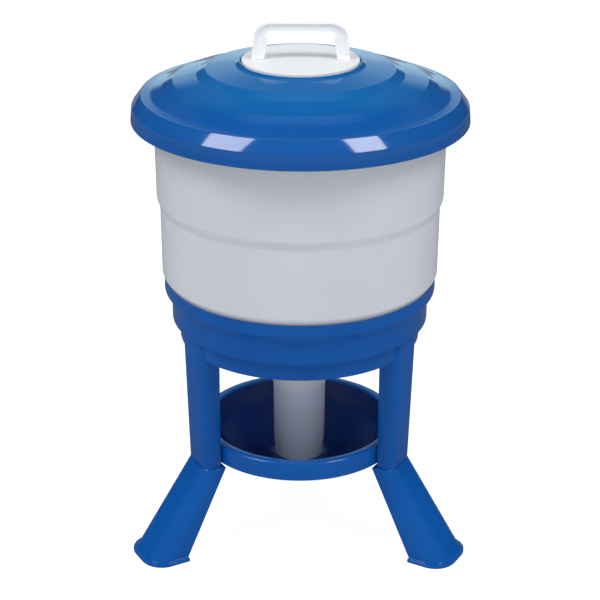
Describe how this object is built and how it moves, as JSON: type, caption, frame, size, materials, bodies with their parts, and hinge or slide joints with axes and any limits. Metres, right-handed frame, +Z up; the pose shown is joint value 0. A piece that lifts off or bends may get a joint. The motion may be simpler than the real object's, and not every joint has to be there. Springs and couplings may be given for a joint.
{
  "type": "chicken waterer",
  "caption": "Round lidded water tank on a splayed three-legged stand, feeding a round drinking dish through a central tube.",
  "frame": {"origin": "on the tank's axis, at floor level", "axes": "+Z up along the tank's axis, -Y to the front between two of the legs, +X to the right seen from the front"},
  "size_m": [0.4564, 0.4722, 0.7155],
  "materials": {
    "blue_plastic": "gloss",
    "tank_plastic": "satin",
    "tube_plastic": "satin",
    "white_plastic": "satin",
    "seal_rubber": "matte"
  },
  "bodies": {
    "root": {"stand": "blue_plastic", "lid": "blue_plastic", "dish": "blue_plastic", "foot_back": "blue_plastic", "foot_left": "blue_plastic", "foot_right": "blue_plastic", "tank": "tank_plastic", "outlet_tube": "tube_plastic", "filler_cap": "white_plastic", "tube_seal": "seal_rubber", "lid_gasket": "seal_rubber", "cap_seal": "seal_rubber"}
  },
  "joints": []
}
